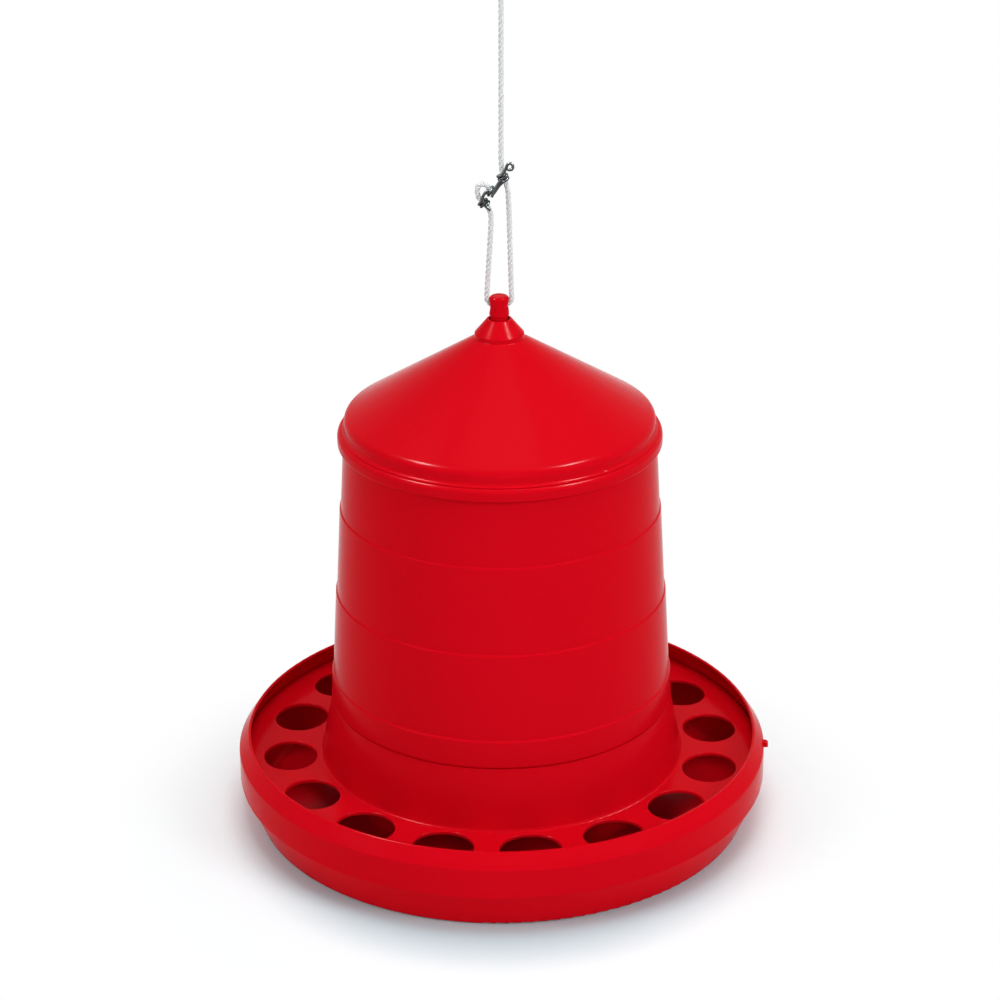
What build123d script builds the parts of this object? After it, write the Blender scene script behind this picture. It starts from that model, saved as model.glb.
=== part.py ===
from build123d import *
import math
import os

os.makedirs("parts", exist_ok=True)

# Hanging hopper feeder for poultry, in millimetres. +Z is up, and the origin is on the floor,
# under the centre of the tray. The lug of the feed saver ring points along +X.

# Tray: a dish with a raised band, a lip that leans inward, and a cone in its middle
tray_r = 210.0
tray_foot_r = 196.0
tray_h = 66.0
tray_rim_r = 202.0
band_low_z = 30.0
band_top_z = 54.0
band_step = 2.0
wall = 2.5
cone_foot_r = 112.0
cone_drop = 11.2
hub_r = 14.0
hub_low_z = 46.0
hub_top_z = 66.0
hub_bore_r = 6.3

# Feed saver ring: a flat plate with oval feeding openings, a skirt and a collar
opening_count = 16
opening_centre_r = 169.5
opening_radial = 42.0
opening_across = 47.0
opening_edge = 0.8
plate_z = 48.5
plate_t = 2.5
ring_fit = 0.3
skirt_t = 2.2
collar_foot_r = 144.0
collar_top_r = 134.2
collar_top_z = 97.0
spigot_h = 11.0
spigot_r = 131.0
lug_w = 6.0
lug_low_z = 51.0
lug_h = 4.2
lug_out = 3.2
lug_play = 0.5

# Hopper: a tapered tube with three small steps
hopper_top_z = 319.0
hopper_top_r = 120.0
hopper_wall = 2.2
hopper_taper = 0.0545
step_out = 1.0
step_rise = 1.4
step_heights = [118.9, 188.2, 257.5]
hopper_foot_in_r = 131.4
hopper_foot_h = 2.5

# Lid: a cone with a small boss on top and a rounded bead round its edge
lid_slope = 0.62
lid_wall = 2.0
boss_r = 18.8
boss_foot_z = 394.4
boss_side_h = 3.4
boss_top_r = 9.4
boss_top_z = 409.0
lid_hole_r = 7.9
lid_edge_r = 119.2
bead_r = 124.6
bead_top_z = 321.5
bead_low_z = 310.5
lid_gap = 1.2

# Hanger rod, with its shoulder on the tray's hub and a cross hole for the rope
rod_r = 6.6
rod_low_z = 31.0
rod_thread_r = 6.0
shoulder_r = 11.0
shoulder_t = 4.0
head_r = 7.5
head_low_z = 412.0
head_top_z = 427.0
hole_z = 419.0
hole_r = 2.6
hole_flare = 3.5
washer_r = 13.0
washer_t = 2.0
nut_flats = 19.0
nut_h = 10.0
nut_clear = 0.1

# Rope and its wire adjuster
rope_r = 2.0
rope_x = 2.7
strand_x = 9.8
hole_rope_z = 419.5
rope_play = 0.1
knot_low_z = 664.0
knot_h = 12.0
knot_r = 5.6
loop_foot = 2.3
loop_side = 8.2
loop_side_h = 28.0
loop_crown = 5.0
loop_h = 37.5
wire_r = 1.1
wire_front_y = -3.3
eye_r = 3.3
wire_bend_r = 1.3


def corners(section):
    """Split a section's list of (point, rounding) into points and roundings."""
    return [point for point, rounding in section], [rounding for point, rounding in section]


# Tray, turned from one section
wall_lean = (tray_r - band_step - tray_foot_r) / band_low_z
cone_rise = (hub_top_z - cone_drop) / (cone_foot_r - hub_r)
cone_skin = wall * math.hypot(1, cone_rise)
ledge_z = band_low_z + wall
ledge_in_r = tray_r - 2 * wall + 0.5
lip_run = tray_r - tray_rim_r
lip_rise = tray_h - band_top_z
lip_len = math.hypot(lip_run, lip_rise)
lip_in_r = tray_rim_r - wall * lip_rise / lip_len
lip_in_z = tray_h - wall * lip_run / lip_len
lip_root_z = lip_in_z - (tray_r - wall - lip_in_r) * lip_rise / lip_run

tray_section = [
    ((hub_bore_r, hub_low_z), 0),
    ((hub_r, hub_low_z), 1),
    ((hub_r, cone_rise * (cone_foot_r - hub_r)), 2),
    ((cone_foot_r, 0), 3),
    ((tray_foot_r, 0), 3),
    ((tray_r - band_step, band_low_z), 0.4),
    ((tray_r, band_low_z), 0.6),
    ((tray_r, band_top_z), 3),
    ((tray_rim_r, tray_h), 1.1),
    ((lip_in_r, lip_in_z), 1.1),
    ((tray_r - wall, lip_root_z), 2),
    ((tray_r - wall, ledge_z), 0),
    ((ledge_in_r, ledge_z), 0.5),
    ((ledge_in_r - wall_lean * band_low_z, wall), 6),
    ((cone_foot_r + (cone_skin - wall) / cone_rise, wall), 6),
    ((hub_r, cone_rise * (cone_foot_r - hub_r) + cone_skin), 3),
    ((hub_r, hub_top_z), 1),
    ((hub_bore_r, hub_top_z), 0),
]

with BuildPart() as tray:
    with BuildSketch(Plane.XZ) as tray_profile:
        with BuildLine():
            points, roundings = corners(tray_section)
            FilletPolyline(*points, radius=roundings, close=True)
        make_face()
    revolve(axis=Axis.Z)
    # Slot in the band for the ring's lug
    with BuildSketch(Plane.XY.offset(lug_low_z - lug_play)) as slot_outline:
        with Locations((tray_r, 0)):
            Rectangle(4 * wall, lug_w + 2 * lug_play)
    extrude(amount=lug_h + 2 * lug_play, mode=Mode.SUBTRACT)
tray.part.label = "tray"
export_step(tray.part, "parts/tray.step")

# Feed saver ring, with its collar, its skirt on the tray's ledge and its oval openings
ring_r = tray_r - wall - ring_fit
plate_low_z = plate_z - plate_t
collar_edge_r = collar_foot_r + 2.8
skirt_edge_r = ring_r - 2 * skirt_t
collar_section = [
    ((spigot_r - 2.4, collar_top_z + spigot_h), 0.6),
    ((spigot_r - 0.6, collar_top_z + spigot_h), 0.8),
    ((spigot_r, collar_top_z), 0),
    ((collar_top_r, collar_top_z), 0.6),
    ((collar_foot_r, plate_z), 2.4),
    ((collar_edge_r, plate_z), 0),
    ((collar_edge_r, plate_low_z), 0),
    ((collar_foot_r - 1.7, plate_low_z), 2),
    ((collar_top_r - 2.2, collar_top_z - 5), 2),
    ((spigot_r - 2.2, collar_top_z - 1), 2),
]
skirt_section = [
    ((skirt_edge_r, plate_z), 0),
    ((ring_r, plate_z), 2.5),
    ((ring_r, ledge_z), 0.4),
    ((ring_r - skirt_t, ledge_z), 0.4),
    ((ring_r - skirt_t, plate_low_z), 0.8),
    ((skirt_edge_r, plate_low_z), 0),
]

with BuildPart() as feed_saver_ring:
    with BuildSketch(Plane.XY.offset(plate_low_z)) as plate_outline:
        Circle(skirt_edge_r)
        Circle(collar_edge_r, mode=Mode.SUBTRACT)
        with PolarLocations(opening_centre_r, opening_count, start_angle=180 / opening_count):
            Ellipse(opening_radial / 2, opening_across / 2, mode=Mode.SUBTRACT)
    extrude(amount=plate_t)
    plate_top_edges = feed_saver_ring.edges().filter_by_position(Axis.Z, plate_z, plate_z)
    fillet(plate_top_edges.filter_by(GeomType.CIRCLE, reverse=True), opening_edge)
    with BuildSketch(Plane.XZ) as ring_profile:
        with BuildLine():
            points, roundings = corners(collar_section)
            FilletPolyline(*points, radius=roundings, close=True)
        make_face()
        with BuildLine():
            points, roundings = corners(skirt_section)
            FilletPolyline(*points, radius=roundings, close=True)
        make_face()
    revolve(axis=Axis.Z)
    # The lug, on a tab that stands on the plate
    with BuildSketch(Plane.XZ) as lug_side:
        with BuildLine():
            Polyline(
                (ring_r - skirt_t, plate_low_z + 1),
                (ring_r - 0.2, plate_low_z + 1),
                (ring_r - 0.2, lug_low_z),
                (tray_r + lug_out, lug_low_z + 0.6),
                (tray_r + lug_out, lug_low_z + lug_h - 1.2),
                (tray_r + lug_out - 1.6, lug_low_z + lug_h),
                (ring_r - skirt_t, lug_low_z + lug_h),
                close=True,
            )
        make_face()
    extrude(amount=lug_w / 2, both=True)
feed_saver_ring.part.label = "feed_saver_ring"
export_step(feed_saver_ring.part, "parts/feed_saver_ring.step")


def hopper_r(z):
    """Outer radius of the hopper just above height z, between its steps."""
    steps_above = sum(1 for height in step_heights if height > z)
    return hopper_top_r + hopper_taper * (hopper_top_z - z) + step_out * steps_above


def hopper_line(inset):
    """The stepped side of the hopper from its foot to its top, moved inward by the inset."""
    line = []
    for height in step_heights:
        line.append(((hopper_r(height) + step_out - inset, height), 0.8))
        line.append(((hopper_r(height) - inset, height + step_rise), 0.8))
    return line


# Hopper, with a thicker foot that seats on the collar's ledge round the spigot
foot_r = hopper_r(collar_top_z)
hopper_section = [((hopper_foot_in_r, collar_top_z), 0.4), ((foot_r, collar_top_z), 2.4)]
hopper_section += hopper_line(0)
hopper_section += [((hopper_top_r, hopper_top_z), 0.5), ((hopper_top_r - hopper_wall, hopper_top_z), 0.5)]
hopper_section += list(reversed(hopper_line(hopper_wall)))
hopper_section += [
    ((foot_r - hopper_wall, collar_top_z + hopper_foot_h), 0),
    ((hopper_foot_in_r, collar_top_z + hopper_foot_h), 0.4),
]

with BuildPart() as hopper:
    with BuildSketch(Plane.XZ) as hopper_profile:
        with BuildLine():
            points, roundings = corners(hopper_section)
            FilletPolyline(*points, radius=roundings, close=True)
        make_face()
    revolve(axis=Axis.Z)
hopper.part.label = "hopper"
export_step(hopper.part, "parts/hopper.step")

# Lid: its inner ledge rests on the hopper's top edge, and its bead hangs outside
lid_skin = lid_wall * math.hypot(1, lid_slope)
lid_edge_z = boss_foot_z - lid_slope * (lid_edge_r - boss_r)
skirt_in_r = hopper_top_r + lid_gap
lid_in_r = hopper_top_r - hopper_wall - 0.4
boss_in_r = boss_r - lid_wall - 0.2
lid_section = [
    ((lid_hole_r, boss_top_z - 2.4), 0.5),
    ((lid_hole_r, boss_top_z), 0.4),
    ((boss_top_r, boss_top_z), 0.6),
    ((boss_r, boss_foot_z + boss_side_h), 1.2),
    ((boss_r, boss_foot_z), 1),
    ((lid_edge_r, lid_edge_z), 7),
    ((lid_edge_r + 0.2, bead_top_z), 3),
    ((bead_r, bead_top_z), 4.5),
    ((bead_r, bead_low_z), 2),
    ((skirt_in_r, bead_low_z), 0.6),
    ((skirt_in_r, hopper_top_z), 0),
    ((lid_in_r, hopper_top_z), 0.5),
    ((lid_in_r, lid_edge_z - lid_skin + lid_slope * (lid_edge_r - lid_in_r)), 5),
    ((boss_in_r, boss_foot_z - lid_skin + lid_slope * (boss_r - boss_in_r)), 1),
    ((boss_in_r, boss_foot_z + boss_side_h - 0.8), 1),
]

with BuildPart() as lid:
    with BuildSketch(Plane.XZ) as lid_profile:
        with BuildLine():
            points, roundings = corners(lid_section)
            FilletPolyline(*points, radius=roundings, close=True)
        make_face()
    revolve(axis=Axis.Z)
lid.part.label = "lid"
export_step(lid.part, "parts/lid.step")

# Hanger rod, from its plain threaded end under the tray to its head above the lid
rod_section = [
    ((0, rod_low_z), 0),
    ((rod_thread_r, rod_low_z), 1),
    ((rod_thread_r, hub_top_z), 0),
    ((shoulder_r, hub_top_z), 0.6),
    ((shoulder_r, hub_top_z + shoulder_t), 1),
    ((rod_r, hub_top_z + shoulder_t + 1), 1.5),
    ((rod_r, head_low_z - 1), 0.6),
    ((head_r, head_low_z), 0.6),
    ((head_r, head_top_z), 2.6),
    ((0, head_top_z), 0),
]
hole_top_z = hole_z + hole_r
flare_top_z = hole_top_z + hole_flare + 1
hole_section = [
    ((0, hole_z), 0),
    ((head_r + 2, hole_z), 0),
    ((head_r + 2, flare_top_z), 0),
    ((head_r, flare_top_z), 0),
    ((head_r, hole_top_z), hole_flare),
    ((0, hole_top_z), 0),
]

with BuildPart() as hanger_rod:
    with BuildSketch(Plane.XZ) as rod_profile:
        with BuildLine():
            points, roundings = corners(rod_section)
            FilletPolyline(*points, radius=roundings, close=True)
        make_face()
    revolve(axis=Axis.Z)
    # The cross hole flares at both mouths, so that the rope bends over a round edge
    with BuildSketch(Plane.XZ) as hole_profile:
        with BuildLine():
            points, roundings = corners(hole_section)
            FilletPolyline(*points, radius=roundings, close=True)
        make_face()
        mirror(about=Plane.YZ)
    revolve(axis=Axis((0, 0, hole_z), (1, 0, 0)), mode=Mode.SUBTRACT)
hanger_rod.part.label = "hanger_rod"
export_step(hanger_rod.part, "parts/hanger_rod.step")

# Washer and nut that clamp the rod under the tray's hub
with BuildPart() as rod_washer:
    with BuildSketch(Plane.XY.offset(hub_low_z - washer_t)) as washer_outline:
        Circle(washer_r)
        Circle(rod_thread_r + 0.4, mode=Mode.SUBTRACT)
    extrude(amount=washer_t)
rod_washer.part.label = "rod_washer"
export_step(rod_washer.part, "parts/rod_washer.step")

nut_top_z = hub_low_z - washer_t
nut_corner_r = nut_flats / 2 / math.cos(math.radians(30))
with BuildPart() as rod_nut:
    with BuildSketch(Plane.XY.offset(nut_top_z - nut_h)) as nut_outline:
        RegularPolygon(nut_flats / 2, 6, major_radius=False)
        Circle(rod_thread_r + nut_clear, mode=Mode.SUBTRACT)
    extrude(amount=nut_h)
    # The corners of the hexagon are turned off at both faces
    with BuildSketch(Plane.XZ) as nut_turning:
        with BuildLine():
            Polyline(
                (0, nut_top_z - nut_h),
                (nut_flats / 2, nut_top_z - nut_h),
                (nut_corner_r, nut_top_z - nut_h + 1),
                (nut_corner_r, nut_top_z - 1),
                (nut_flats / 2, nut_top_z),
                (0, nut_top_z),
                close=True,
            )
        make_face()
    revolve(axis=Axis.Z, mode=Mode.INTERSECT)
rod_nut.part.label = "rod_nut"
export_step(rod_nut.part, "parts/rod_nut.step")

# Rope: down from its knot, past the adjuster, through the rod's head, back up the other side,
# through the adjuster's lower eye and round into its third eye
rope_route = [
    (rope_x, 0, knot_low_z),
    (rope_x, 0, 524),
    (6.6, 0, 508),
    (strand_x, 0, hole_rope_z),
    (-strand_x, 0, hole_rope_z),
    (-6.2, 0, 494),
    (-15.6, 0, 503.8),
    (-15.6, 0, 509.8),
    (-12, 0, 513),
    (-6.9, 0, 510.6),
]

# Loop above the knot, for the hook that holds the feeder
loop_low_z = knot_low_z + knot_h
loop_route = [
    (rope_x - loop_foot, 0, loop_low_z),
    (rope_x - loop_side, 0, loop_low_z + loop_side_h),
    (rope_x - loop_crown, 0, loop_low_z + loop_h),
    (rope_x + loop_crown, 0, loop_low_z + loop_h),
    (rope_x + loop_side, 0, loop_low_z + loop_side_h),
    (rope_x + loop_foot, 0, loop_low_z),
]


def bend_radii(route, tight):
    """One radius for each inner point of a route: tight values by index, else from the runs."""
    radii = []
    for index in range(1, len(route) - 1):
        arriving = Vector(*route[index]) - Vector(*route[index - 1])
        leaving = Vector(*route[index + 1]) - Vector(*route[index])
        half_turn = math.radians(arriving.get_angle(leaving) / 2)
        shorter = min(arriving.length, leaving.length)
        radii.append(tight.get(index, 0.45 * shorter / math.tan(half_turn)))
    return radii


# At the mouths of the cross hole the rope bends over the hole's own flare
mouth_bend_r = hole_flare + rope_r + rope_play
rope_radii = bend_radii(rope_route, {3: mouth_bend_r, 4: mouth_bend_r})
loop_radii = bend_radii(loop_route, {})
print("rope bend radii", [round(radius, 1) for radius in rope_radii])
print("loop bend radii", [round(radius, 1) for radius in loop_radii])

with BuildPart() as hanging_rope:
    with BuildLine():
        rope_path = FilletPolyline(*rope_route, radius=rope_radii)
    with BuildSketch(Plane(origin=rope_path @ 0, z_dir=rope_path % 0)):
        Circle(rope_r)
    sweep()
hanging_rope.part.label = "hanging_rope"
export_step(hanging_rope.part, "parts/hanging_rope.step")
print("rope length", round(rope_path.length, 1))

with BuildPart() as hanging_loop:
    with BuildLine():
        loop_path = FilletPolyline(*loop_route, radius=loop_radii)
    with BuildSketch(Plane(origin=loop_path @ 0, z_dir=loop_path % 0)):
        Circle(rope_r)
    sweep()
    # Both ends are cut level where they leave the knot
    split(bisect_by=Plane.XY.offset(loop_low_z + 0.01), keep=Keep.TOP)
hanging_loop.part.label = "hanging_loop"
export_step(hanging_loop.part, "parts/hanging_loop.step")
print("loop length", round(loop_path.length, 1))

with BuildPart() as loop_knot:
    with BuildSketch(Plane.XZ) as knot_profile:
        with BuildLine():
            Polyline(
                (0, knot_low_z + knot_h),
                (0, knot_low_z),
                (rope_r + 1, knot_low_z),
            )
            ThreePointArc(
                (rope_r + 1, knot_low_z),
                (knot_r, knot_low_z + knot_h / 2),
                (rope_r + 2.6, knot_low_z + knot_h),
            )
            Line((rope_r + 2.6, knot_low_z + knot_h), (0, knot_low_z + knot_h))
        make_face()
    revolve(axis=Axis.Z)
loop_knot.part = loop_knot.part.moved(Location((rope_x, 0, 0)))
loop_knot.part.label = "loop_knot"
export_step(loop_knot.part, "parts/loop_knot.step")

# Adjuster: a bent wire in front of the rope with a hook, a curl and three eyes round the rope
shank_low_end = (-10.9, wire_front_y, 503)
shank_high_end = (1.9, wire_front_y, 518.9)
shank_route = [
    (8.6, wire_front_y, 523.6),
    (11.1, wire_front_y, 525.4),
    (11.1, wire_front_y, 530.5),
    (7.2, wire_front_y, 530),
    shank_high_end,
    (-6.8, wire_front_y, 511.4),
    shank_low_end,
    (-15.2, wire_front_y, 501.6),
    (-13.6, wire_front_y, 497.6),
]
tail_end = (-3.6, wire_front_y, 506.6)
leg_end = (-5.6, wire_front_y, 498.2)
eye_places = [
    ((3.9, 0, 518.5), (3.9, 0, -16)),
    ((-7.2, 0, 510.7), (5.1, 0, -2.4)),
    ((-10.9, 0, 498.9), (-9.4, 0, 9.8)),
]

with BuildPart() as rope_adjuster:
    with BuildLine():
        shank_path = FilletPolyline(*shank_route, radius=wire_bend_r)
    with BuildSketch(Plane(origin=shank_path @ 0, z_dir=shank_path % 0)):
        Circle(wire_r)
    sweep()
    with BuildLine():
        tail_path = Line(shank_high_end, tail_end)
    with BuildSketch(Plane(origin=tail_path @ 0, z_dir=tail_path % 0)):
        Circle(wire_r)
    sweep(path=tail_path)
    with BuildLine():
        leg_path = Line(shank_low_end, leg_end)
    with BuildSketch(Plane(origin=leg_path @ 0, z_dir=leg_path % 0)):
        Circle(wire_r)
    sweep(path=leg_path)
    for centre, along in eye_places:
        with Locations(Plane(origin=centre, z_dir=along)):
            Torus(eye_r, wire_r)
rope_adjuster.part.label = "rope_adjuster"
export_step(rope_adjuster.part, "parts/rope_adjuster.step")
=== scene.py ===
import math

import bpy
from mathutils import Matrix, Vector

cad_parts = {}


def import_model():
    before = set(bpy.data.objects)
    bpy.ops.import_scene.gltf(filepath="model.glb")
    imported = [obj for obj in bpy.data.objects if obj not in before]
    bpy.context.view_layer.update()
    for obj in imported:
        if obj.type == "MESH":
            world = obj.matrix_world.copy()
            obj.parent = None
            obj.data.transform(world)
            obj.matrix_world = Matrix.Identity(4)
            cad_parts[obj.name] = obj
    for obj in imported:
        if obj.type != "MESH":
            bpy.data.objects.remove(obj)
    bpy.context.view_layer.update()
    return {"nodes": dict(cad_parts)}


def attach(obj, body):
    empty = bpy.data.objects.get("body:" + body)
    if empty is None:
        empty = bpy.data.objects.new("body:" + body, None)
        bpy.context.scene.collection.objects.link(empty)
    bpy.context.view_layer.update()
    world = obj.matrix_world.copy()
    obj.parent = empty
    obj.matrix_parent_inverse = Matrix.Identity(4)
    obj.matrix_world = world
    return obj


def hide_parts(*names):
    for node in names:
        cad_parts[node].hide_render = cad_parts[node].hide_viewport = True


# Hanging hopper feeder for poultry, in metres, in the row's own frame: +Z is up, and
# the origin is on the floor under the centre of the tray.
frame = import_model()
nodes = frame["nodes"]
MM = 0.001
FRONT = Vector((0, -1, 0))
UP = Vector((0, 0, 1))

# Camera, 1.94 m from the feeder's middle and 1.10 m up, looking down. It stands a few
# degrees to the right of the front.
CAMERA_DISTANCE = 1.944
CAMERA_HEIGHT = 1.098
CAMERA_PITCH = math.radians(23.32)
CAMERA_TURN = math.radians(4)
CAMERA_ROLL = math.radians(-0.33)
CAMERA_LENS = 98.45
CAMERA_SENSOR = 36
CAMERA_SHIFT = (-0.0003, 0.0)

# Rope of three strands, in metres. Each strand winds about the rope's line at the lay
# radius, once round in each pitch.
STRAND_COUNT = 3
STRAND_R = 1.1 * MM
STRAND_LAY_R = 0.98 * MM
STRAND_PITCH = 13 * MM
STRAND_SIDES = 12
STRAND_STEP = 0.6 * MM

# All routes and coils below are in millimetres.
# The rope's route: down from its knot and through the adjuster's first coil to the
# rod's head, through its cross hole, up the other side, through the third coil, and
# round in a small bight that ends at the second coil.
ROPE_ROUTE = [
    (2.7, 0, 664),
    (2.1, 0, 548),
    (2, 0, 522),
    (6.6, 0, 513),
    (7.6, 0, 500),
    (9, 0, 434),
    (9.8, 0, 419.2),
    (-9.8, 0, 419.2),
    (-8.8, 0, 434),
    (-5.9, 0, 479),
    (-5.4, 0, 493.4),
    (-13.2, 0, 501),
    (-15.6, 0, 504.6),
    (-15.6, 0, 508),
    (-15.6, 0, 511.2),
    (-13.3, 0, 513.5),
    (-9.9, 0, 513.5),
    (-7.9, 0, 511.2),
    (-5.9, 0, 508.2),
]
LOOP_ROUTE = [
    (0.4, 0, 676),
    (-5.5, 0, 704),
    (-2.3, 0, 713.5),
    (7.7, 0, 713.5),
    (10.9, 0, 704),
    (5, 0, 676),
]

# The knot is a coil of rope about the rope. Its first point lies part of the way out to
# the coil, and both ends are tucked in beside the rope that it is wound round.
COIL_STEPS = 12
KNOT_MIDDLE = (2.7, 0, 670)
KNOT_COIL_R = 3.9
KNOT_COIL_PITCH = 3.9
KNOT_TURNS = 3
KNOT_START = 0.4
KNOT_TUCK = 3
KNOT_END_Y = 0.5

# The adjuster's wire: an eye at its upper end, then coils at three places, joined by
# short links, and a short leg. A second wire, the tail, runs down from the first coil.
# A coil's place is its middle and the direction of its axis.
WIRE_R = 1.15
WIRE_COIL_R = 3.45
WIRE_COIL_PITCH = 2.35
WIRE_TURNS = 2
WIRE_Y = -3.4
WIRE_COILS = [
    ((3.3, 0, 519), (4.6, 0, -12)),
    ((-5.8, 0, 508.1), (-5.5, 0, 4.4)),
    ((-10.9, 0, 498.9), (9.4, 0, -9.8)),
]
WIRE_EYE = [
    (7.2, -5.6, 526.6),
    (8.8, -5.3, 525.9),
    (10.6, -4.9, 526.6),
    (11.2, -4.5, 528.5),
    (10.3, -4.2, 530.4),
    (8.4, -3.9, 530.9),
    (6.7, -3.6, 529.5),
    (6.0, WIRE_Y, 527),
    (4.8, WIRE_Y, 524.2),
]
FIRST_LINK = [(0.6, WIRE_Y, 513.6), (-1.8, WIRE_Y, 509.6)]
SECOND_LINK = [(-9.6, WIRE_Y, 508.2), (-11.6, WIRE_Y, 504.4)]
WIRE_LEG = [(-8, WIRE_Y, 496.4), (-6.9, WIRE_Y, 495.4), (-6, WIRE_Y, 494.4)]
WIRE_TAIL = [
    (2, -4.4, 518),
    (-1.2, -5, 513.6),
    (-3.2, -5.8, 509.4),
    (-4.6, -5.9, 505.4),
]

# How finely a curve is divided: a cord's line, then the wire along it and around it
LINE_STEPS = 24
WIRE_STEPS = 4
WIRE_ROUNDING = 4
WIRE_SMOOTH_ANGLE = math.radians(40)

# Floor and surroundings. What the camera sees is white, and what lights the feeder is
# grey.
# Near the foot the floor is painted a darker cool grey, a painted shadow that deepens
# the feeder's own; it is cool because red light from the tray would turn that shadow
# pink.
FLOOR_SIZE = 14
FLOOR_Z = -0.0005
FLOOR_COLOUR = (0.74, 0.75, 0.76)
FLOOR_SEEN = (0.92, 0.99, 1.00)
# Painted shadow: the darker cool grey that the camera sees near the foot
FLOOR_PAINTED_SHADOW = (0.52, 0.69, 0.73)
SKY_COLOUR = (0.44, 0.44, 0.45)
WHITE = (1.0, 1.0, 1.0)

# Distances from the middle of the shadow. The painted shadow's cool grey fades out past
# FOOT_R, over FOOT_SHADE, and the floor turns plain white between SHADOW_EDGE and
# SHADOW_REACH.
SHADOW_CENTRE = (0.003, -0.048, 0)
FOOT_R = 0.16
FOOT_SHADE = 0.065
SHADOW_EDGE = 0.18
SHADOW_REACH = 0.34

# Lamps: name, place, size and power. The first four light the feeder and don't show in
# its gloss, and the last two show only in its gloss.
LAMP_AIM = Vector((0, 0, 0.2))
LIGHTS = [
    ("left_light", (-1.7, -1.1, 1.3), (0.8, 0.8), 11),
    ("right_light", (1.8, -1.2, 1.3), (0.8, 0.8), 20),
    ("front_light", (0.4, -2.3, 1.0), (1.0, 1.0), 4),
    ("top_light", (0.1, -0.2, 2.4), (1.2, 1.2), 20),
]
SHINES = [
    ("left_shine", (-1.25, -0.23, 2.17), (0.5, 0.3), 190),
    ("right_shine", (1.24, -0.27, 2.17), (0.5, 0.3), 190),
]

# Red plastic. All colours here are linear, and the shades are levels of one colour.
RED = (0.61, 0.0015, 0.008)
RED_SHADES = (0.95, 1.05)
PLASTIC_ROUGHNESS = 0.14
PLASTIC_DULLING = 0.07
PLASTIC_IOR = 1.49
PLASTIC_SPECULAR = 0.015
FLOW_STRETCH = (1, 1, 0.35)

# White fibre, with a little dust, and painted shade between its threads: the grooves
# are darker and the tops lighter. Its threads are finer across a strand, the UV map's
# first direction, than along it.
ROPE_WHITE = (0.70, 0.72, 0.72)
ROPE_PAINTED_SHADE_LEVELS = (0.88, 1.06)
ROPE_DUST = (0.52, 0.54, 0.54)
ROPE_DUST_AMOUNT = 0.2
ROPE_ROUGHNESS = 0.72
ROPE_SHEEN = 0.2
THREAD_STRETCH = (14.0, 900.0, 1.0)


class Value:
    """A number in a shader: Python's arithmetic on a socket adds its Math nodes."""

    def __init__(self, maker, socket):
        self.maker = maker
        self.socket = socket

    def _math(self, operation, *inputs):
        settings = {"operation": operation}
        return self.maker.add("ShaderNodeMath", settings, dict(enumerate(inputs)))

    def __add__(self, other):
        return self._math("ADD", self, other)

    __radd__ = __add__

    def __mul__(self, other):
        return self._math("MULTIPLY", self, other)

    __rmul__ = __mul__


class Finish:
    """The nodes of one material, or of the world, added one by one."""

    def __init__(self, owner):
        owner.use_nodes = True
        self.owner = owner
        self.tree = owner.node_tree
        self.tree.nodes.clear()

    def add(self, kind, settings=None, inputs=None, output=0):
        """Add a node: its settings first, then the values or links of its sockets."""
        node = self.tree.nodes.new(kind)
        for key, value in (settings or {}).items():
            setattr(node, key, value)
        for key, value in (inputs or {}).items():
            if isinstance(value, Value):
                self.tree.links.new(value.socket, node.inputs[key])
            else:
                node.inputs[key].default_value = value
        if not node.outputs:
            return None
        return Value(self, node.outputs[output])

    def place(self):
        """Object coordinates, in metres."""
        return self.add("ShaderNodeTexCoord", output="Object")

    def stretched(self, place, scale):
        return self.add("ShaderNodeMapping", {}, {"Vector": place, "Scale": scale})

    def noise(self, place, scale, detail, rough):
        inputs = {"Vector": place, "Scale": scale, "Detail": detail, "Roughness": rough}
        return self.add("ShaderNodeTexNoise", {}, inputs, "Fac")

    def mix(self, factor, first, second):
        """A colour between two colours, by the numbers of the node's colour sockets."""
        inputs = {0: factor, 6: first, 7: second}
        return self.add("ShaderNodeMix", {"data_type": "RGBA"}, inputs, 2)

    def bump(self, height, strength, distance):
        inputs = {"Height": height, "Strength": strength, "Distance": distance}
        return self.add("ShaderNodeBump", {}, inputs, "Normal")

    def distance(self, centre):
        """The distance from a point, in metres."""
        settings = {"operation": "DISTANCE"}
        inputs = {0: self.place(), 1: centre}
        return self.add("ShaderNodeVectorMath", settings, inputs, "Value")

    def ramp(self, value, low, high):
        """0 below one value and 1 above the other, with a soft step between them."""
        settings = {"interpolation_type": "SMOOTHSTEP"}
        inputs = {"Value": value, "From Min": low, "From Max": high}
        return self.add("ShaderNodeMapRange", settings, inputs)

    def seen(self):
        """1 for what the camera sees, straight, in a gloss or through glass, else 0."""
        camera, gloss, glass = [
            self.add("ShaderNodeLightPath", output=ray)
            for ray in ("Is Camera Ray", "Is Glossy Ray", "Is Transmission Ray")
        ]
        inputs = {0: camera, 1: gloss + glass}
        return self.add("ShaderNodeMath", {"operation": "MAXIMUM"}, inputs)

    def surface(self, **inputs):
        """The surface shader, with its sockets named in words, and the output."""
        named = {key.replace("_", " "): value for key, value in inputs.items()}
        shader = self.add("ShaderNodeBsdfPrincipled", {}, named, "BSDF")
        self.add("ShaderNodeOutputMaterial", {}, {"Surface": shader})
        return self.owner


def rgba(colour, level=1.0):
    return tuple(part * level for part in colour) + (1.0,)


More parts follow.
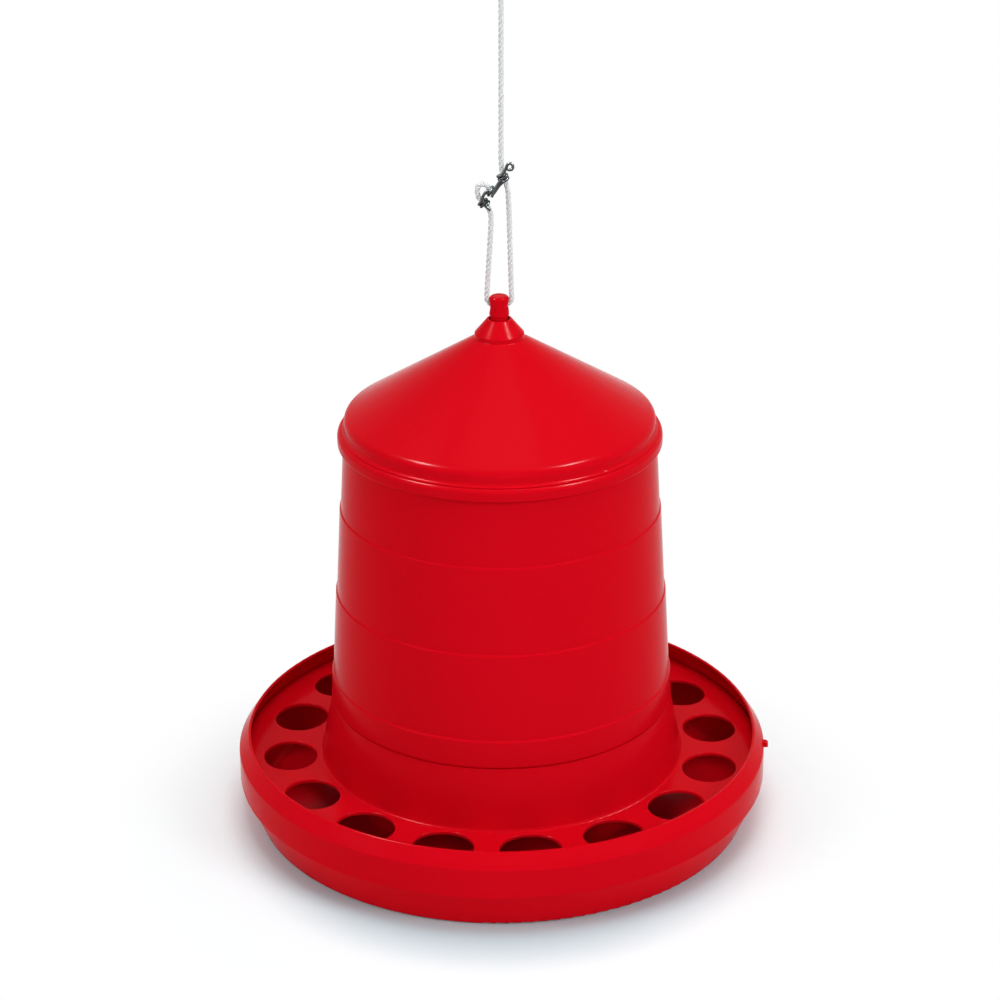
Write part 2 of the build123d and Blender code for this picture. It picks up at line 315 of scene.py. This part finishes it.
def red_plastic():
    """Glossy moulded plastic: its flow, a soft orange peel and faint dulled patches."""
    made = Finish(bpy.data.materials.new("red_plastic"))
    place = made.place()
    flowing = made.stretched(place, FLOW_STRETCH)
    flow = made.noise(flowing, scale=9.0, detail=3.0, rough=0.55)
    dull = made.noise(place, scale=22.0, detail=4.0, rough=0.6)
    peel = made.noise(place, scale=420.0, detail=2.0, rough=0.5)
    deep, pale = [rgba(RED, level) for level in RED_SHADES]
    return made.surface(
        Base_Color=made.mix(flow, deep, pale),
        Roughness=PLASTIC_ROUGHNESS + PLASTIC_DULLING * dull,
        Normal=made.bump(peel, strength=0.04, distance=0.0004),
        IOR=PLASTIC_IOR,
        Specular_IOR_Level=PLASTIC_SPECULAR,
    )


def rope_fibre():
    """Twisted white fibre: fine threads along each strand with painted shade in their
    grooves, and a little dust.
    """
    made = Finish(bpy.data.materials.new("rope_fibre"))
    strand = made.add("ShaderNodeTexCoord", output="UV")
    drawn_out = made.stretched(strand, THREAD_STRETCH)
    threads = made.noise(drawn_out, scale=1.0, detail=3.0, rough=0.6)
    patches = made.noise(made.place(), scale=90.0, detail=2.0, rough=0.5)
    # Painted shade: the threads' noise is also the bump's height, so their grooves take
    # the shaded level and their tops the lit one
    shaded, lit = [rgba(ROPE_WHITE, level) for level in ROPE_PAINTED_SHADE_LEVELS]
    fibre = made.mix(threads, shaded, lit)
    return made.surface(
        Base_Color=made.mix(patches * ROPE_DUST_AMOUNT, fibre, rgba(ROPE_DUST)),
        Roughness=ROPE_ROUGHNESS,
        Normal=made.bump(threads, strength=0.6, distance=0.0003),
        Sheen_Weight=ROPE_SHEEN,
    )


def metal(name, dark, light, roughness, spread, scale):
    """Bare metal whose shade and roughness vary a little from spot to spot."""
    made = Finish(bpy.data.materials.new(name))
    bloom = made.noise(made.place(), scale=scale, detail=4.0, rough=0.6)
    return made.surface(
        Base_Color=made.mix(bloom, rgba(dark), rgba(light)),
        Metallic=1.0,
        Roughness=roughness + spread * bloom,
        Normal=made.bump(bloom, strength=0.12, distance=0.0002),
    )


def dress(names, material):
    """Give CAD nodes their finish."""
    for name in names:
        node = nodes[name]
        node.data.materials.clear()
        node.data.materials.append(material)


def route_curve(name, route):
    """A NURBS spline with a route's points, in millimetres, as its control points."""
    curve = bpy.data.curves.new(name, "CURVE")
    curve.dimensions = "3D"
    curve.resolution_u = LINE_STEPS
    spline = curve.splines.new("NURBS")
    spline.points.add(len(route) - 1)
    for point, place in zip(spline.points, route):
        point.co = (place[0] * MM, place[1] * MM, place[2] * MM, 1)
    spline.order_u = 3
    spline.use_endpoint_u = True
    holder = bpy.data.objects.new(name, curve)
    bpy.context.scene.collection.objects.link(holder)
    return holder


def centre_line(route):
    """The smooth line of a route, in metres: points along its NURBS spline."""
    holder = route_curve("line", route)
    mesh = bpy.data.meshes.new_from_object(holder)
    line = [vertex.co.copy() for vertex in mesh.vertices]
    bpy.data.objects.remove(holder)
    bpy.data.meshes.remove(mesh)
    return line


def coil(centre, axis, radius, pitch, turns):
    """Points of a coil round an axis. It starts and ends at the front."""
    axis = Vector(axis).normalized()
    side = axis.cross(FRONT)
    points = []
    for step in range(COIL_STEPS * turns + 1):
        turn = math.tau * step / COIL_STEPS
        along = pitch * (step / COIL_STEPS - turns / 2)
        out = FRONT * math.cos(turn) + side * math.sin(turn)
        points.append(Vector(centre) + axis * along + out * radius)
    return points


def line_length(line):
    return sum((end - start).length for start, end in zip(line, line[1:]))


def evenly(line, spacing):
    """The same line with points at an even spacing."""
    lengths = [0.0]
    for start, end in zip(line, line[1:]):
        lengths.append(lengths[-1] + (end - start).length)
    count = max(2, round(lengths[-1] / spacing))
    even = []
    index = 0
    for step in range(count + 1):
        along = lengths[-1] * step / count
        while index < len(line) - 2 and lengths[index + 1] < along:
            index += 1
        gap = lengths[index + 1] - lengths[index]
        part = (along - lengths[index]) / gap if gap else 0.0
        even.append(line[index].lerp(line[index + 1], min(1.0, part)))
    return even


def turning_frames(line):
    """A tangent and two cross directions at each point, carried along without twist."""
    frames = []
    # Any direction that the line doesn't follow will do for the first one
    across = Vector((0.3, 1, 0.2))
    for index in range(len(line)):
        ahead = line[min(index + 1, len(line) - 1)] - line[max(index - 1, 0)]
        tangent = ahead.normalized()
        across = (across - tangent * across.dot(tangent)).normalized()
        frames.append((tangent, across, tangent.cross(across)))
    return frames


def strand_rings(line, frames, spacing, share):
    """Rings of points round one strand, which starts at its share of a turn."""
    points = []
    for index, (middle, (tangent, across, side)) in enumerate(zip(line, frames)):
        turn = math.tau * (share + index * spacing / STRAND_PITCH)
        out = across * math.cos(turn) + side * math.sin(turn)
        around = tangent.cross(out) * math.tau * STRAND_LAY_R
        lean = (tangent * STRAND_PITCH + around).normalized()
        cross = lean.cross(out)
        for corner in range(STRAND_SIDES):
            angle = math.tau * corner / STRAND_SIDES
            rim = out * math.cos(angle) + cross * math.sin(angle)
            points.append(middle + out * STRAND_LAY_R + rim * STRAND_R)
    return points


def strand_skin(first, rings, spacing):
    """Faces round one strand and over its two ends, with each face's UV places."""
    faces = []
    places = []
    corners = range(STRAND_SIDES)
    for ring in range(rings - 1):
        low = first + ring * STRAND_SIDES
        high = low + STRAND_SIDES
        bottom = ring * spacing
        top = bottom + spacing
        for corner in corners:
            after = (corner + 1) % STRAND_SIDES
            faces.append((low + corner, high + corner, high + after, low + after))
            left = corner / STRAND_SIDES
            right = (corner + 1) / STRAND_SIDES
            places.append([(left, bottom), (left, top), (right, top), (right, bottom)])
    last = first + (rings - 1) * STRAND_SIDES
    faces.append(tuple(first + corner for corner in corners))
    faces.append(tuple(last + corner for corner in reversed(corners)))
    places += [[(0, 0)] * STRAND_SIDES] * 2
    return faces, places


def twisted_rope(name, line, fibre):
    """Three round strands twisted about a line, as one mesh, and that line's points."""
    even = evenly(line, STRAND_STEP)
    frames = turning_frames(even)
    spacing = (even[1] - even[0]).length
    verts = []
    faces = []
    coords = []
    for strand in range(STRAND_COUNT):
        skin, places = strand_skin(len(verts), len(even), spacing)
        faces += skin
        coords += places
        verts += strand_rings(even, frames, spacing, strand / STRAND_COUNT)
    mesh = bpy.data.meshes.new(name)
    mesh.from_pydata(verts, [], faces)
    layer = mesh.uv_layers.new(name="threads")
    for polygon, places in zip(mesh.polygons, coords):
        # The walls have four corners and are smooth, and the ends are flat
        polygon.use_smooth = len(polygon.vertices) == 4
        for loop, place in zip(polygon.loop_indices, places):
            layer.data[loop].uv = place
    mesh.materials.append(fibre)
    piece = bpy.data.objects.new(name, mesh)
    bpy.context.scene.collection.objects.link(piece)
    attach(piece, "root")
    return piece, even


def wire_run(name, route):
    """Round wire along a route, as a mesh with both ends closed."""
    run = route_curve(name, route)
    run.data.resolution_u = WIRE_STEPS
    run.data.bevel_depth = WIRE_R * MM
    run.data.bevel_resolution = WIRE_ROUNDING
    run.data.use_fill_caps = True
    bpy.ops.object.select_all(action="DESELECT")
    run.select_set(True)
    bpy.context.view_layer.objects.active = run
    bpy.ops.object.convert(target="MESH")
    return bpy.context.object


def adjuster(steel):
    """The wire adjuster: one wire with its coils, joined with the tail beside it."""
    first, second, third = [
        coil(centre, axis, WIRE_COIL_R, WIRE_COIL_PITCH, WIRE_TURNS)
        for centre, axis in WIRE_COILS
    ]
    route = WIRE_EYE + first + FIRST_LINK + second + SECOND_LINK + third + WIRE_LEG
    tail = wire_run("adjuster_tail", WIRE_TAIL)
    piece = wire_run("adjuster_wire", route)
    tail.select_set(True)
    bpy.ops.object.join()
    bpy.ops.object.shade_smooth_by_angle(angle=WIRE_SMOOTH_ANGLE)
    piece.data.materials.append(steel)
    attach(piece, "root")
    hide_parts("rope_adjuster")
    return piece


def knot_route():
    """The knot's turns, with the coil's first and last points moved in as its tucks."""
    middle = Vector(KNOT_MIDDLE)
    wound = coil(middle, UP, KNOT_COIL_R, KNOT_COIL_PITCH, KNOT_TURNS)
    turns = wound[1:-1]
    start = middle.lerp(wound[0], KNOT_START) - Vector((KNOT_TUCK, 0, 0))
    end = Vector((middle.x + KNOT_TUCK, KNOT_END_Y, turns[-1].z))
    return [start] + turns + [end]


def rope(fibre, steel):
    """The rope, its knot and its upper loop, as twisted strands, with the wire
    adjuster.
    """
    wire = adjuster(steel)
    strands, path = twisted_rope("rope_strands", centre_line(ROPE_ROUTE), fibre)
    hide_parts("hanging_rope")
    line_length(path)
    knot, _ = twisted_rope("knot_turns", centre_line(knot_route()), fibre)
    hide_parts("loop_knot")
    loop, loop_path = twisted_rope("loop_strands", centre_line(LOOP_ROUTE), fibre)
    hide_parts("hanging_loop")
    line_length(loop_path)


def camera():
    data = bpy.data.cameras.new("camera")
    data.sensor_width = CAMERA_SENSOR
    data.lens = CAMERA_LENS
    data.shift_x, data.shift_y = CAMERA_SHIFT
    eye = bpy.data.objects.new("camera", data)
    eye.location = (
        CAMERA_DISTANCE * math.sin(CAMERA_TURN),
        -CAMERA_DISTANCE * math.cos(CAMERA_TURN),
        CAMERA_HEIGHT,
    )
    turn = Matrix.Rotation(CAMERA_TURN, 3, "Z")
    pitch = Matrix.Rotation(math.pi / 2 - CAMERA_PITCH, 3, "X")
    roll = Matrix.Rotation(CAMERA_ROLL, 3, "Z")
    eye.rotation_euler = (turn @ pitch @ roll).to_euler()
    bpy.context.scene.collection.objects.link(eye)
    bpy.context.scene.camera = eye


def softbox(name, place, size, power, glare):
    """A rectangular lamp aimed at the feeder, for light or for glare in its gloss."""
    data = bpy.data.lights.new(name, "AREA")
    data.shape = "RECTANGLE"
    data.size, data.size_y = size
    data.energy = power
    lamp = bpy.data.objects.new(name, data)
    lamp.location = place
    aim = LAMP_AIM - Vector(place)
    lamp.rotation_euler = aim.to_track_quat("-Z", "Y").to_euler()
    lamp.visible_diffuse = not glare
    lamp.visible_glossy = glare
    bpy.context.scene.collection.objects.link(lamp)


def floor():
    """A white floor that keeps the feeder's soft shadow, with a painted shadow near the
    foot, and fades to plain white.
    """
    bpy.ops.mesh.primitive_plane_add(size=FLOOR_SIZE, location=(0, 0, FLOOR_Z))
    ground = bpy.context.object
    ground.name = "floor"
    made = Finish(bpy.data.materials.new("floor_white"))
    seen = made.seen()
    away = made.distance(SHADOW_CENTRE)
    # Painted shadow: near the foot the camera sees the darker cool grey, fading out
    # past FOOT_R
    shade = made.ramp(away, FOOT_R, FOOT_R + FOOT_SHADE)
    visible = made.mix(shade, rgba(FLOOR_PAINTED_SHADOW), rgba(FLOOR_SEEN))
    colour = made.mix(seen, rgba(FLOOR_COLOUR), visible)
    matt = made.add("ShaderNodeBsdfDiffuse", {}, {"Color": colour})
    white = made.add("ShaderNodeEmission", {}, {"Color": rgba(WHITE), "Strength": 1.0})
    far = made.ramp(away, SHADOW_EDGE, SHADOW_REACH)
    shader = made.add("ShaderNodeMixShader", {}, {0: far * seen, 1: matt, 2: white})
    made.add("ShaderNodeOutputMaterial", {}, {"Surface": shader})
    ground.data.materials.append(made.owner)


def world():
    """White behind the feeder, and a soft grey light from all round."""
    made = Finish(bpy.data.worlds.new("studio"))
    colour = made.mix(made.seen(), rgba(SKY_COLOUR), rgba(WHITE))
    back = made.add("ShaderNodeBackground", {}, {"Color": colour, "Strength": 1.0})
    made.add("ShaderNodeOutputWorld", {}, {"Surface": back})
    bpy.context.scene.world = made.owner


camera()
red = red_plastic()
zinc = metal(
    "zinc_steel",
    dark=(0.55, 0.56, 0.56),
    light=(0.72, 0.72, 0.70),
    roughness=0.25,
    spread=0.2,
    scale=300.0,
)
wire_steel = metal(
    "dark_wire",
    dark=(0.035, 0.04, 0.04),
    light=(0.10, 0.11, 0.11),
    roughness=0.3,
    spread=0.2,
    scale=260.0,
)
rope(rope_fibre(), wire_steel)
dress(["tray", "feed_saver_ring", "hopper", "lid", "hanger_rod"], red)
dress(["rod_washer", "rod_nut"], zinc)
world()
floor()
for lamp in LIGHTS:
    softbox(*lamp, glare=False)
for lamp in SHINES:
    softbox(*lamp, glare=True)
bpy.context.scene.view_settings.view_transform = "Standard"
